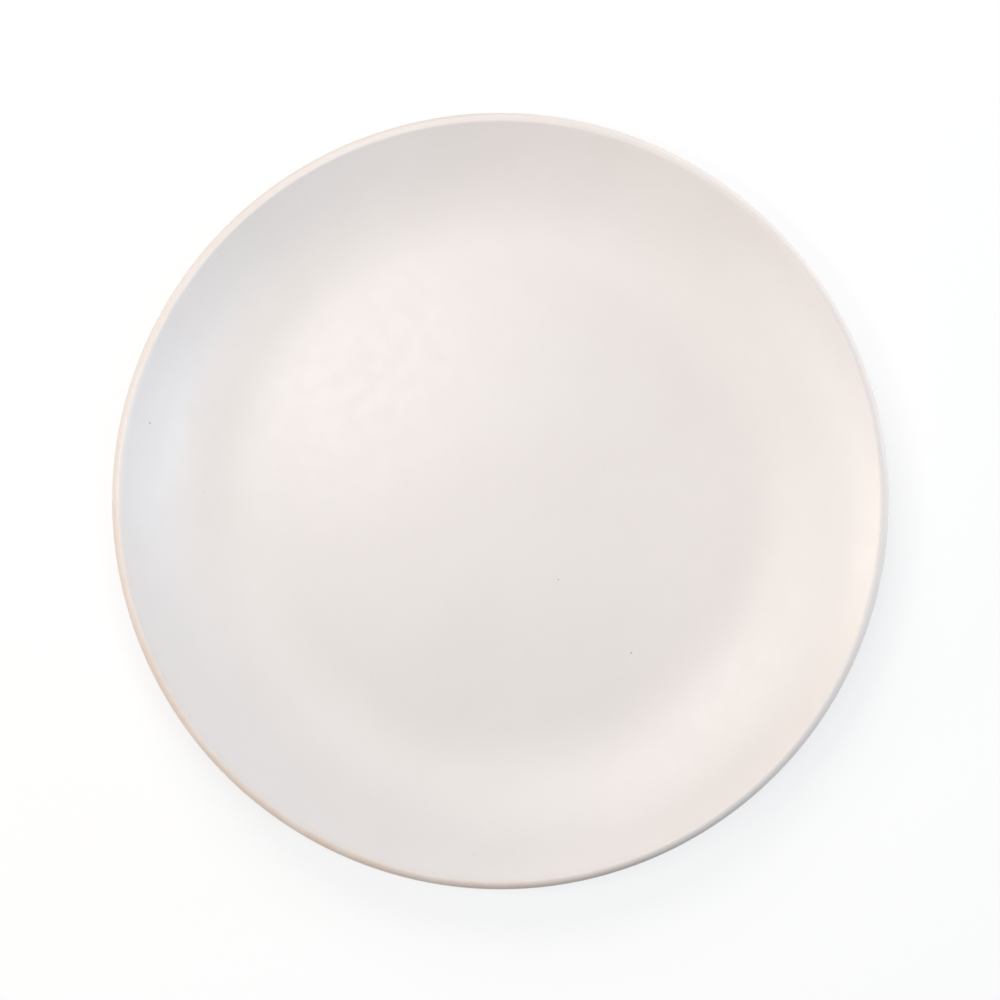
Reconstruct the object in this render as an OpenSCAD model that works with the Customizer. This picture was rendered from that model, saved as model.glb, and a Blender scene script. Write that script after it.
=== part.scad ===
// Coupe dinner plate: a stoneware body with a turned foot ring, under a matt glaze.
// Each piece is a half section, spun round the Z axis. The table is at z = 0.

/* [Plate] */
// Diameter over the glazed lip
plate_d = 270; // [240:1:300]
// Radius of the flat well, where the wall's curve starts
well_r = 81; // [72:1:90]
// Height of the glazed well above the table
well_h = 11.4; // [10.8:0.1:13]

/* [Wall and lip] */
// Radius of the one curve that runs up from the well to the lip
wall_curve_r = 128; // [110:1:150]
// Thickness of the floor's edge and the wall, glaze included
wall_t = 5; // [4:0.1:5.6]
// Extra radius of the rounded lip over half the wall
lip_bead = 0.1; // [0.05:0.01:0.3]

/* [Foot ring] */
// Diameter of the bearing face, at its middle
foot_d = 150; // [132:1:166]
// Width of the flat bearing face
foot_face_w = 3.6; // [2.5:0.1:5]
// Width of the bevel on each edge of the bearing face
foot_bevel_w = 0.8; // [0.4:0.1:1.4]
// Height of those bevels
foot_bevel_h = 0.8; // [0.4:0.1:1.2]
// Lean of the foot's sides from upright
foot_lean = 22; // [10:1:35]
// Height of the glazed recess inside the foot ring
recess_h = 4.6; // [4:0.1:5.2]

/* [Glaze] */
// Thickness of the fired glaze
glaze_t = 0.4; // [0.2:0.05:0.7]
// Height of the glaze line on the foot ring
glaze_line_h = 1.5; // [1.3:0.1:2]

/* [Hidden] */
$fn = 256;

clay_colour = [0.80, 0.70, 0.58];
glaze_colour = [0.91, 0.89, 0.87];

// The wall's curve leaves the well level, so its axis stands straight over the well's edge
wall_axis = [well_r, well_h + wall_curve_r];

// The lip is a full round on the end of the wall's middle arc
lip_r = wall_t / 2 + lip_bead;
lip_x = plate_d / 2 - lip_r;
wall_mid_r = wall_curve_r + wall_t / 2;
wall_sweep = asin((lip_x - wall_axis.x) / wall_mid_r);
lip_z = wall_axis.y - wall_mid_r * cos(wall_sweep);

foot_r = foot_d / 2;
floor_mid_h = well_h - wall_t / 2;

// Space over the eating face, sunk by depth: the well up to the wall's axis, and the round of the wall
module dish(depth) {
    translate([0, well_h - depth])
        square([well_r, wall_curve_r + depth]);
    translate(wall_axis)
        circle(r = wall_curve_r + depth);
}

// All that lies between the plate's axis and the line from the wall's axis through the lip
module inside_lip() {
    polygon([
        [0, 0],
        wall_axis + 2 * wall_mid_r * [sin(wall_sweep), -cos(wall_sweep)],
        wall_axis,
        [0, wall_axis.y]
    ]);
}

// Floor, wall and lip, with coat mm of glaze on both faces
module wall_section(coat) {
    bare = glaze_t - coat;
    intersection() {
        difference() {
            dish(wall_t - bare);
            dish(bare);
        }
        inside_lip();
    }
    translate([lip_x, lip_z])
        circle(r = lip_r - bare);
}

// The thicker base inside the foot ring
module base_section(coat) {
    bare = glaze_t - coat;
    translate([0, recess_h + bare])
        square([foot_r, floor_mid_h - recess_h - bare]);
}

// Foot ring, from the bearing face up into the floor
module foot_section(coat) {
    face = foot_face_w / 2 + coat / cos(foot_lean);
    side = face + foot_bevel_w;
    root = side + (floor_mid_h - foot_bevel_h) * tan(foot_lean);
    translate([foot_r, 0])
        polygon([
            [-face, 0],
            [face, 0],
            [side, foot_bevel_h],
            [root, floor_mid_h],
            [-root, floor_mid_h],
            [-side, foot_bevel_h]
        ]);
}

module plate_section(coat) {
    wall_section(coat);
    base_section(coat);
    foot_section(coat);
}

// All glaze: the coated section less the clay, down to the glaze line
module glaze_section() {
    difference() {
        plate_section(glaze_t);
        plate_section(0);
        square([plate_d, glaze_line_h]);
    }
}

// Space inside the foot ring, up to the middle of the floor
module recess_space() {
    square([foot_r, floor_mid_h]);
}

module stoneware_body() {
    color(clay_colour)
        rotate_extrude()
            plate_section(0);
}

module main_glaze() {
    color(glaze_colour)
        rotate_extrude()
            difference() {
                glaze_section();
                recess_space();
            }
}

module foot_recess_glaze() {
    color(glaze_colour)
        rotate_extrude()
            intersection() {
                glaze_section();
                recess_space();
            }
}

stoneware_body();
main_glaze();
foot_recess_glaze();
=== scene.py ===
import math

import bpy
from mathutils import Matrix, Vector

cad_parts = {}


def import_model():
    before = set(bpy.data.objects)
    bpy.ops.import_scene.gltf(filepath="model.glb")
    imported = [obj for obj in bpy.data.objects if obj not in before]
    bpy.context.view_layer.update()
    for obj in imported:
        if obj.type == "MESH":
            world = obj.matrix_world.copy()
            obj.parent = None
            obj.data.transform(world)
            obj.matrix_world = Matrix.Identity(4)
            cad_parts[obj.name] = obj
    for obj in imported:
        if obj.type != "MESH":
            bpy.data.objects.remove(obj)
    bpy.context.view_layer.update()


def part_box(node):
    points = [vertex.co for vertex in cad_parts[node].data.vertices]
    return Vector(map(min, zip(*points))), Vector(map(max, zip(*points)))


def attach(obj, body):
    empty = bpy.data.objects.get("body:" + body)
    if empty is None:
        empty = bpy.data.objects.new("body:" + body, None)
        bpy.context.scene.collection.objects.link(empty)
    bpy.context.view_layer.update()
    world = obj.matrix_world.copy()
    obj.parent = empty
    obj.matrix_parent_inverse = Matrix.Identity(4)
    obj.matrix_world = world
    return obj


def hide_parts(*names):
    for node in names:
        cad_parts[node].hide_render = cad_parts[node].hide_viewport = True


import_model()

# Sizes of the plate, in metres, as in the solids
WELL_R = 0.081
WELL_H = 0.0114
WALL_CURVE_R = 0.128
WALL_T = 0.005
GLAZE_T = 0.0004
GLAZE_LINE_H = 0.0015
FOOT_R = 0.075
FOOT_FACE_W = 0.0036
FOOT_BEVEL_W = 0.0008
FOOT_BEVEL_H = 0.0008
FOOT_LEAN = math.radians(22)
RECESS_H = 0.0046

# Sizes that follow from those and from the frame
PLATE_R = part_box("main_glaze")[1].x
LIP_R = WALL_T / 2
LIP_X = PLATE_R - LIP_R
WALL_AXIS = (WELL_R, WELL_H + WALL_CURVE_R)
WALL_MID_R = WALL_CURVE_R + WALL_T / 2
WALL_SWEEP = math.asin((LIP_X - WALL_AXIS[0]) / WALL_MID_R)
LIP = (LIP_X, WALL_AXIS[1] - WALL_MID_R * math.cos(WALL_SWEEP))

# Corners that are softer than in the solids
EDGE_ROUND = 0.0003
FILLET_W = 0.0026
ROOT_FILLET_H = 0.00156
RECESS_FILLET_H = 0.00078

# How fine the meshes are: steps round the plate and along each run of the section
SEGMENTS = 360
WELL_STEPS = 22
WALL_STEPS = 23
LIP_STEPS = 15
UNDER_STEPS = 16
ROOT_STEPS = 4
COAT_FINER = 2
RECESS_STEPS = 40
RECESS_FILLET_STEPS = 8
GLAZE_EDGE_STEPS = 5
FOOT_FACE_STEPS = 8
FOOT_EDGE_STEPS = 4
ROOT_TRIES = 20
SAME_POINT = 1e-7

# What the hand and the kiln leave. Waves are (count round the plate, height, phase).
RIM_WARP = ((2, 0.00011, 0.6), (3, 0.00007, 2.1), (5, 0.00003, 4.4))
RIM_OVAL = ((2, 0.00005, 1.7), (3, 0.00003, 0.3))
WARP_STARTS = 0.080
GLAZE_CREEP = ((4, 0.00010, 0.9), (7, 0.00008, 3.0), (13, 0.00006, 5.2), (29, 0.00003, 1.1))
CREEP_REACH = 0.0012
RING_WAVE = 0.0068
RING_DEPTH = 0.000004
EASE_H = 0.00012
EASE_W = 0.012

# The well was opened a little off the middle. The shift fades along the wall and down into the clay.
WELL_OFF = 0.0025
WELL_OFF_ANGLE = math.radians(135)
WELL_OFF_FADES = (0.100, 0.128)
WELL_OFF_GONE = 0.003
WELL_OFF_WHOLE = 0.001

# The glaze runs thin over the lip, most on one side. Turns are in degrees, outwards from the lip's top.
THIN_ANGLE = math.radians(-125)
THIN_SIDE = (0.3, 0.95)
THIN_LEAST = 0.12
THIN_STARTS = (-60, 40)
THIN_STOPS = (100, 150)


def smooth(value, low, high):
    """0 below low, 1 above high, and a smooth step between."""
    t = min(max((value - low) / (high - low), 0.0), 1.0)
    return t * t * (3 - 2 * t)


def waves(table, angle):
    """Height of all waves of a table at an angle round the plate."""
    return sum(height * math.cos(count * angle + phase) for count, height, phase in table)


def dips(table, angle):
    """Waves that only go down from the true size."""
    return waves(table, angle) - sum(height for _, height, _ in table)


def line(start, stop, steps):
    """Evenly spaced points from start to stop."""
    return [
        (start[0] + (stop[0] - start[0]) * i / steps, start[1] + (stop[1] - start[1]) * i / steps)
        for i in range(steps + 1)
    ]


def arc(centre, radius, start, stop, steps):
    """Points round a centre. Angles count from straight down, turning outwards."""
    angles = [start + (stop - start) * i / steps for i in range(steps + 1)]
    return [(centre[0] + radius * math.sin(a), centre[1] - radius * math.cos(a)) for a in angles]


def bend(start, corner, stop, steps):
    """A curve that leaves start and reaches stop along the two lines through corner."""
    points = []
    for i in range(steps + 1):
        t = i / steps
        weights = ((1 - t) ** 2, 2 * t * (1 - t), t * t)
        points.append(tuple(
            sum(w * p[k] for w, p in zip(weights, (start, corner, stop))) for k in (0, 1)
        ))
    return points


def join(*runs):
    """One profile from runs of points, without the doubled points where runs meet."""
    points = []
    for run in runs:
        for point in run:
            if not points or math.dist(point, points[-1]) > SAME_POINT:
                points.append(point)
    return points


def foot_side(z, coat):
    """Half width of the foot ring at a height, with its coat of glaze."""
    rise = (z - FOOT_BEVEL_H) * math.tan(FOOT_LEAN)
    return FOOT_FACE_W / 2 + coat / math.cos(FOOT_LEAN) + FOOT_BEVEL_W + rise


def under_radius(coat):
    """Radius of the underside's arc, with its coat of glaze."""
    return WALL_CURVE_R + WALL_T - GLAZE_T + coat


def under_angle(r, coat):
    """Angle on the underside's arc at a radius, 0 under the flat floor."""
    return math.asin(max(r - WALL_AXIS[0], 0) / under_radius(coat))


def under_face(r, coat):
    """Height of the underside at a radius near the foot ring."""
    return WALL_AXIS[1] - under_radius(coat) * math.cos(under_angle(r, coat))


def foot_root(coat):
    """Corner where the outside of the foot ring meets the underside."""
    z = WELL_H - WALL_T
    for _ in range(ROOT_TRIES):
        r = FOOT_R + foot_side(z, coat)
        z = under_face(r, coat)
    return r, z


def upper_profile(coat):
    """From the middle of the well, over the lip and under the wall, to the root of the foot ring."""
    bare = GLAZE_T - coat
    fine = COAT_FINER if coat else 1
    corner = foot_root(coat)
    fillet_r = corner[0] + FILLET_W
    fillet_start = (fillet_r, under_face(fillet_r, coat))
    side_z = corner[1] - ROOT_FILLET_H
    fillet_stop = (FOOT_R + foot_side(side_z, coat), side_z)
    return join(
        line((0, WELL_H - bare), (WELL_R, WELL_H - bare), WELL_STEPS * fine),
        arc(WALL_AXIS, WALL_CURVE_R + bare, 0, WALL_SWEEP, WALL_STEPS * fine),
        arc(LIP, LIP_R - bare, math.pi + WALL_SWEEP, WALL_SWEEP, LIP_STEPS * fine),
        arc(WALL_AXIS, under_radius(coat), WALL_SWEEP, under_angle(fillet_r, coat), UNDER_STEPS * fine),
        bend(fillet_start, corner, fillet_stop, ROOT_STEPS * fine),
    )


def recess_profile(coat):
    """From the glaze line inside the foot ring to the middle of the recess."""
    ceiling = RECESS_H + GLAZE_T - coat
    corner = (FOOT_R - foot_side(ceiling, coat), ceiling)
    side_z = ceiling - RECESS_FILLET_H
    fillet_start = (FOOT_R - foot_side(side_z, coat), side_z)
    fillet_stop = (corner[0] - FILLET_W, ceiling)
    return join(
        [(FOOT_R - foot_side(GLAZE_LINE_H, coat), GLAZE_LINE_H)],
        bend(fillet_start, corner, fillet_stop, RECESS_FILLET_STEPS),
        line(fillet_stop, (0, ceiling), RECESS_STEPS),
    )


def glaze_edge(way):
    """Rounded end of a coat at its glaze line, from its face to the clay.

    way is 1 outside the foot ring and -1 inside.
    """
    outer = (FOOT_R + way * foot_side(GLAZE_LINE_H + GLAZE_T, GLAZE_T), GLAZE_LINE_H + GLAZE_T)
    corner = (FOOT_R + way * foot_side(GLAZE_LINE_H, GLAZE_T), GLAZE_LINE_H)
    clay = (FOOT_R + way * foot_side(GLAZE_LINE_H, 0), GLAZE_LINE_H)
    return bend(outer, corner, clay, GLAZE_EDGE_STEPS)


def foot_profile():
    """Bare clay from the outside glaze line, round the bearing face, to the inside one."""
    half = FOOT_FACE_W / 2
    side = half + FOOT_BEVEL_W
    above = FOOT_BEVEL_H + EDGE_ROUND
    bevel_top = (foot_side(above, 0), above)
    bevel_side = (side - EDGE_ROUND, FOOT_BEVEL_H - EDGE_ROUND)
    outside = join(
        [(foot_side(GLAZE_LINE_H, 0), GLAZE_LINE_H)],
        bend(bevel_top, (side, FOOT_BEVEL_H), bevel_side, FOOT_EDGE_STEPS),
        bend((half + EDGE_ROUND, EDGE_ROUND), (half, 0), (half - EDGE_ROUND, 0), FOOT_EDGE_STEPS),
    )
    flat = line((half - EDGE_ROUND, 0), (EDGE_ROUND - half, 0), FOOT_FACE_STEPS)
    inside = [(-r, z) for r, z in reversed(outside)]
    return [(FOOT_R + r, z) for r, z in join(outside, flat, inside)]


def face(r):
    """Height of the eating face at a radius, from the well to the end of the wall."""
    out = max(r - WELL_R, 0)
    return WALL_AXIS[1] - math.sqrt(WALL_CURVE_R ** 2 - out ** 2)


def off_centre(r, z, angle):
    """How far the eating face sinks or rises because its well was opened a little off the middle."""
    reach = WELL_OFF * math.cos(angle - WELL_OFF_ANGLE)
    upper = smooth(z, face(r) - WELL_OFF_GONE, face(r) - WELL_OFF_WHOLE)
    return (face(r - reach) - face(r)) * upper * (1 - smooth(r, *WELL_OFF_FADES))


def turning_ring(r):
    """Height of the faint rings of the turning, 0 in the middle."""
    return RING_DEPTH * math.cos(2 * math.pi * r / RING_WAVE) * smooth(r, 0, RING_WAVE)


def settle(r, z, angle, creeps):
    """Where a point of the section ends up in the fired plate."""
    loose = smooth(r, WARP_STARTS, PLATE_R)
    if creeps:
        held = 1 - smooth(z, GLAZE_LINE_H, GLAZE_LINE_H + CREEP_REACH)
        shift = waves(GLAZE_CREEP, angle) * held
        z += shift
        r += shift * math.copysign(math.tan(FOOT_LEAN), r - FOOT_R)
    z += off_centre(r, z, angle)
    z += dips(RIM_WARP, angle) * loose
    z -= EASE_H * (1 - smooth(r, WELL_R - EASE_W, WELL_R + EASE_W)) * smooth(z, RECESS_H, WELL_H)
    z += turning_ring(r) * smooth(z, RECESS_H, WELL_H)
    r += dips(RIM_OVAL, angle) * loose
    return r * math.cos(angle), r * math.sin(angle), z


def thinness(r, z, angle):
    """How thin the glaze runs over the lip: 1 where it ran most, 0 away from the lip."""
    if r < LIP[0] - 2 * LIP_R:
        return 0.0
    side = THIN_LEAST + (1 - THIN_LEAST) * smooth(math.cos(angle - THIN_ANGLE), *THIN_SIDE)
    turn = math.degrees(math.atan2(r - LIP[0], z - LIP[1]))
    return side * smooth(turn, *THIN_STARTS) * (1 - smooth(turn, *THIN_STOPS))


def add_object(name, data):
    """A new object in the scene for a mesh, a lamp or a camera."""
    obj = bpy.data.objects.new(name, data)
    bpy.context.scene.collection.objects.link(obj)
    return obj


def turned_faces(rings):
    """Faces over a point on the axis, a number of rings, and a second point on the axis."""
    def at(ring, k):
        return 1 + ring * SEGMENTS + k % SEGMENTS

    last = 1 + rings * SEGMENTS
    faces = []
    for k in range(SEGMENTS):
        faces.append((0, at(0, k), at(0, k + 1)))
        for ring in range(rings - 1):
            faces.append((at(ring, k), at(ring + 1, k), at(ring + 1, k + 1), at(ring, k + 1)))
        faces.append((at(rings - 1, k), last, at(rings - 1, k + 1)))
    return faces


def lathe(name, profile, material, creeps=False):
    """A closed mesh turned round Z from a profile whose ends lie on the axis."""
    rings = profile[1:-1]
    verts = [settle(0, profile[0][1], 0, False)]
    thin = [0.0]
    for r, z in rings:
        for k in range(SEGMENTS):
            angle = 2 * math.pi * k / SEGMENTS
            verts.append(settle(r, z, angle, creeps))
            thin.append(thinness(r, z, angle))
    verts.append(settle(0, profile[-1][1], 0, False))
    thin.append(0.0)
    mesh = bpy.data.meshes.new(name)
    mesh.from_pydata(verts, [], turned_faces(len(rings)))
    mesh.shade_smooth()
    mesh.attributes.new("thin", "FLOAT", "POINT").data.foreach_set("value", thin)
    mesh.materials.append(material)
    return add_object(name, mesh)


class Nodes:
    """Short calls for the nodes of a material or the world."""

    def __init__(self, owner):
        owner.use_nodes = True
        self.tree = owner.node_tree

    def feed(self, socket, value):
        """Links a socket to another node's output, or sets it to a constant."""
        if isinstance(value, bpy.types.NodeSocket):
            self.tree.links.new(value, socket)
        else:
            socket.default_value = value

    def node(self, kind, links=None, **values):
        made = self.tree.nodes.new(kind)
        for name, value in values.items():
            setattr(made, name, value)
        for name, value in (links or {}).items():
            self.feed(made.inputs[name], value)
        return made

    def calculate(self, operation, a, b):
        return self.node("ShaderNodeMath", {0: a, 1: b}, operation=operation).outputs[0]

    def remap(self, value, low, high, least, most, curve="SMOOTHSTEP"):
        """least where the value is low, most where it is high."""
        links = {"Value": value, "From Min": low, "From Max": high, "To Min": least, "To Max": most}
        return self.node("ShaderNodeMapRange", links, interpolation_type=curve).outputs["Result"]

    def camera_share(self):
        """1 for rays from the camera, straight, mirrored or through glass, and 0 for light that bounces."""
        path = self.node("ShaderNodeLightPath").outputs
        mirrored = self.calculate("MAXIMUM", path["Is Camera Ray"], path["Is Glossy Ray"])
        return self.calculate("MAXIMUM", mirrored, path["Is Transmission Ray"])


class Shader(Nodes):
    """A material, with short calls for what its surface shows."""

    # Share of a speck's radius that has the speck's full colour
    SPOT_CORE = 0.45
    # Sockets of the colour mixer: the share and both colours, and the result
    MIX_SHARE, MIX_A, MIX_B, MIX_RESULT = 0, 6, 7, 2

    def __init__(self, name):
        self.material = bpy.data.materials.new(name)
        super().__init__(self.material)
        self.bsdf = self.tree.nodes["Principled BSDF"]
        self.place = self.node("ShaderNodeTexCoord").outputs["Object"]

    def moved(self, shift):
        """Places on the surface, shifted so that two patterns don't fall together."""
        links = {0: self.place, 1: (shift, shift, shift)}
        return self.node("ShaderNodeVectorMath", links, operation="ADD").outputs[0]

    def noise(self, size, detail=3.0, roughness=0.5, shift=0.0):
        """Noise whose blotches are about size metres across."""
        links = {"Vector": self.moved(shift), "Scale": 1 / size, "Detail": detail, "Roughness": roughness}
        return self.node("ShaderNodeTexNoise", links).outputs["Fac"]

    def blotches(self, size, low=0.3, high=0.7, least=0.0, most=1.0, **kind):
        """Noise from least to most, where the noise itself goes from low to high."""
        return self.remap(self.noise(size, **kind), low, high, least, most)

    def spots(self, spacing, radius, strength, shift):
        """Round specks of about that radius, on average spacing metres apart in space."""
        links = {"Vector": self.moved(shift), "Scale": 1 / spacing}
        distance = self.node("ShaderNodeTexVoronoi", links).outputs["Distance"]
        edge = radius / spacing
        return self.remap(distance, edge, self.SPOT_CORE * edge, 0, strength)

    def mix(self, share, a, b):
        links = {self.MIX_SHARE: share, self.MIX_A: a, self.MIX_B: b}
        return self.node("ShaderNodeMix", links, data_type="RGBA").outputs[self.MIX_RESULT]

    def bump(self, height, distance, normal=None):
        """Surface normals for a height pattern that is distance metres high."""
        links = {"Height": height, "Distance": distance, "Strength": 1.0}
        if normal:
            links["Normal"] = normal
        return self.node("ShaderNodeBump", links).outputs["Normal"]

    def set(self, **sockets):
        for name, value in sockets.items():
            self.feed(self.bsdf.inputs[name.replace("_", " ")], value)


def colour(r, g, b):
    return (r, g, b, 1.0)


WHITE = colour(1, 1, 1)

# Colours of the glaze, in linear light
GLAZE_DEEP = colour(0.752, 0.703, 0.680)
GLAZE_PALE = colour(0.772, 0.724, 0.702)
GLAZE_BLOT = colour(0.743, 0.695, 0.674)
GLAZE_GRAIN = colour(0.795, 0.748, 0.727)
GLAZE_THIN = colour(0.66, 0.50, 0.37)
SPECK_COLOUR = colour(0.26, 0.21, 0.17)
DUST_COLOUR = colour(0.45, 0.38, 0.32)

# Marks of the glaze, in metres: widths, heights, and the spacing and radius of specks
CLOUD_W = 0.045
BLOT_W = 0.009
GRAIN_W = 0.0016
THIN_PATCH_W = 0.012
SHEEN_W = 0.006
PEEL_W = 0.0035
PEEL_H = 0.00002
PORE_W = 0.0005
PORE_H = 0.000006
SPECK = (0.017, 0.00042)
DUST = (0.008, 0.00022)


def matt_glaze():
    """Matt white glaze: cloudy, faintly grained, with a few iron specks, warm where it runs thin."""
    s = Shader("matt_glaze")
    cloud = s.blotches(CLOUD_W, roughness=0.55)
    tone = s.mix(cloud, GLAZE_DEEP, GLAZE_PALE)
    blot = s.blotches(BLOT_W, low=0.35, high=0.75, most=0.25, detail=4, roughness=0.6, shift=3.1)
    tone = s.mix(blot, tone, GLAZE_BLOT)
    grain = s.blotches(GRAIN_W, most=0.12, detail=2, shift=7.7)
    tone = s.mix(grain, tone, GLAZE_GRAIN)
    thin = s.node("ShaderNodeAttribute", attribute_name="thin").outputs["Fac"]
    patchy = s.blotches(THIN_PATCH_W, low=0.25, least=0.22, most=0.55, roughness=0.6, shift=1.3)
    tone = s.mix(s.calculate("MULTIPLY", thin, patchy), tone, GLAZE_THIN)
    tone = s.mix(s.spots(*SPECK, strength=0.75, shift=2.2), tone, SPECK_COLOUR)
    tone = s.mix(s.spots(*DUST, strength=0.5, shift=5.9), tone, DUST_COLOUR)
    sheen = s.blotches(SHEEN_W, least=0.28, most=0.32, roughness=0.6, shift=6.5)
    peel = s.bump(s.noise(PEEL_W, detail=2, shift=4.0), PEEL_H)
    pores = s.bump(s.noise(PORE_W, detail=2, roughness=0.6, shift=8.8), PORE_H, normal=peel)
    s.set(Base_Color=tone, Roughness=sheen, Normal=pores)
    return s.material


# Colours of the bare clay, in linear light
CLAY_DARK = colour(0.52, 0.39, 0.27)
CLAY_LIGHT = colour(0.60, 0.47, 0.34)
GROG_COLOUR = colour(0.70, 0.58, 0.45)
IRON_COLOUR = colour(0.16, 0.10, 0.07)

# Marks of the bare clay, in metres, and how close the turning tool's rings are
CLAY_CLOUD_W = 0.010
GROG_W = 0.0006
CLAY_SHEEN_W = 0.002
SAND_W = 0.0005
SAND_H = 0.00006
IRON = (0.0030, 0.00022)
TOOL_RINGS = {"Scale": 450, "Distortion": 1.5, "Detail": 2}
TOOL_RING_H = 0.00002


def bare_stoneware():
    """Unglazed buff stoneware: sandy grog, dark iron grains and the turning tool's fine rings."""
    s = Shader("bare_stoneware")
    cloud = s.blotches(CLAY_CLOUD_W, detail=4, roughness=0.6)
    tone = s.mix(cloud, CLAY_DARK, CLAY_LIGHT)
    grog = s.blotches(GROG_W, low=0.55, most=0.5, detail=2, roughness=0.7, shift=2.4)
    tone = s.mix(grog, tone, GROG_COLOUR)
    tone = s.mix(s.spots(*IRON, strength=0.7, shift=1.9), tone, IRON_COLOUR)
    sheen = s.blotches(CLAY_SHEEN_W, least=0.78, most=0.92, roughness=0.6, shift=3.3)
    links = {"Vector": s.place, **TOOL_RINGS}
    rings = s.node("ShaderNodeTexWave", links, wave_type="RINGS", rings_direction="Z").outputs["Fac"]
    turned = s.bump(rings, TOOL_RING_H)
    sandy = s.bump(s.noise(SAND_W, roughness=0.7, shift=5.5), SAND_H, normal=turned)
    s.set(Base_Color=tone, Roughness=sheen, Normal=sandy)
    return s.material


def plate():
    """The three fired pieces, each over its solid."""
    glaze = matt_glaze()
    clay = bare_stoneware()
    bare_upper = upper_profile(0)
    bare_recess = recess_profile(0)
    main_section = join(upper_profile(GLAZE_T), glaze_edge(1), reversed(bare_upper))
    recess_section = join(reversed(bare_recess), reversed(glaze_edge(-1)), recess_profile(GLAZE_T)[1:])
    body_section = join(bare_upper, foot_profile(), bare_recess)

    main = lathe("glaze_main", main_section, glaze, creeps=True)
    recess = lathe("glaze_foot_recess", recess_section, glaze, creeps=True)
    body = lathe("stoneware", body_section, clay)
    for piece, node, slot in (
        (body, "stoneware_body", "stoneware"),
        (main, "main_glaze", "matt_glaze"),
        (recess, "foot_recess_glaze", "matt_glaze"),
    ):
        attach(piece, "root")
        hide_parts(node)


FLOOR_SIZE = 6.0
FLOOR_GAP = 0.00005
FLOOR_COLOUR = colour(0.25, 0.25, 0.25)
FLOOR_ROUGHNESS = 0.9
# The lamps fade away from the plate, so the floor's own glow to the camera grows from near to far
FLOOR_NEAR = 0.3
FLOOR_FAR = 1.0
FLOOR_GLOW = 0.76


def pale_floor():
    """Matt floor that looks white to the camera and keeps the plate's soft shadow."""
    s = Shader("pale_floor")
    away = s.node("ShaderNodeVectorMath", {0: s.place}, operation="LENGTH").outputs["Value"]
    level = s.remap(away, FLOOR_NEAR, FLOOR_FAR, FLOOR_GLOW, 1.0, curve="LINEAR")
    glow = s.calculate("MULTIPLY", s.camera_share(), level)
    s.set(Base_Color=FLOOR_COLOUR, Roughness=FLOOR_ROUGHNESS, Specular_IOR_Level=0.0)
    s.set(Emission_Color=WHITE, Emission_Strength=glow)
    return s.material


def floor():
    """A wide square just under the foot ring."""
    half = FLOOR_SIZE / 2
    corners = [(-half, -half), (half, -half), (half, half), (-half, half)]
    mesh = bpy.data.meshes.new("floor")
    mesh.from_pydata([(x, y, -FLOOR_GAP) for x, y in corners], [], [(0, 1, 2, 3)])
    mesh.materials.append(pale_floor())
    add_object("floor", mesh)


# Lamps as (name, tilt from overhead, bearing clockwise from the picture's right, width, level, warmth).
# Level 1 lights a white face square to the lamp to white. Warmth shifts red up and blue down by that share.
LAMP_DISTANCE = 1.2
LAMPS = (
    ("overhead", 9, 222, 0.24, 0.120, 0.03),
    ("left", 21, 157, 0.24, 0.066, -0.11),
    ("far_left", 30, 185, 0.24, 0.142, 0.04),
    ("right", 13, 15, 0.24, 0.042, 0.35),
    ("far_right", 23, 12, 0.24, 0.110, -0.27),
    ("back", 49, 254, 0.80, 0.635, 0.06),
    ("low_left", 80, 154, 0.40, 0.335, 0.15),
    ("low_right", 80, 352, 0.40, 0.245, -0.45),
    ("card_right", 90, 346, 0.04, 0.800, 0.24),
)
# Lamps tilted further have no mirror image in the glaze, so they draw no white line along the lip
MIRRORED_TO = 45
FILL = 0.07


def world():
    """White to the camera, a soft even fill to the plate."""
    made = bpy.data.worlds.new("studio")
    nodes = Nodes(made)
    background = nodes.tree.nodes["Background"]
    nodes.feed(background.inputs["Color"], WHITE)
    strength = nodes.remap(nodes.camera_share(), 0, 1, FILL, 1, curve="LINEAR")
    nodes.feed(background.inputs["Strength"], strength)
    bpy.context.scene.world = made


def softbox(name, tilt, bearing, width, level, warmth):
    """A round lamp that faces the middle of the plate."""
    lamp = bpy.data.lights.new(name, "AREA")
    lamp.shape = "DISK"
    lamp.size = width
    lamp.energy = level * (math.pi * LAMP_DISTANCE) ** 2
    lamp.color = (1 + warmth, 1, 1 - warmth)
    lean = math.radians(tilt)
    turn = -math.radians(bearing)
    out = math.sin(lean)
    way = Vector((out * math.cos(turn), out * math.sin(turn), math.cos(lean)))
    obj = add_object(name, lamp)
    obj.location = way * LAMP_DISTANCE
    obj.rotation_euler = (-way).to_track_quat("-Z", "Y").to_euler()
    obj.visible_camera = False
    obj.visible_glossy = tilt < MIRRORED_TO


def lights():
    """The even fill and all lamps."""
    world()
    for lamp in LAMPS:
        softbox(*lamp)


# The photograph's frame: the plate's middle and mean width in its 1000 pixels
FRAME_PX = 1000
MIDDLE_PX = (500.4, 501.2)
WIDTH_PX = 777.0
LENS_MM = 85.0
SENSOR_MM = 36.0


def camera():
    """Straight above the plate, at the distance that gives its width in the photograph."""
    lens = bpy.data.cameras.new("camera")
    lens.lens = LENS_MM
    lens.sensor_width = SENSOR_MM
    metres_per_px = 2 * PLATE_R / WIDTH_PX
    distance = metres_per_px * FRAME_PX * LENS_MM / SENSOR_MM
    aside = (FRAME_PX / 2 - MIDDLE_PX[0]) * metres_per_px
    along = (MIDDLE_PX[1] - FRAME_PX / 2) * metres_per_px
    obj = add_object("camera", lens)
    obj.location = (aside, along, LIP[1] + distance)
    bpy.context.scene.camera = obj


plate()
floor()
lights()
camera()
bpy.context.scene.view_settings.view_transform = "Standard"
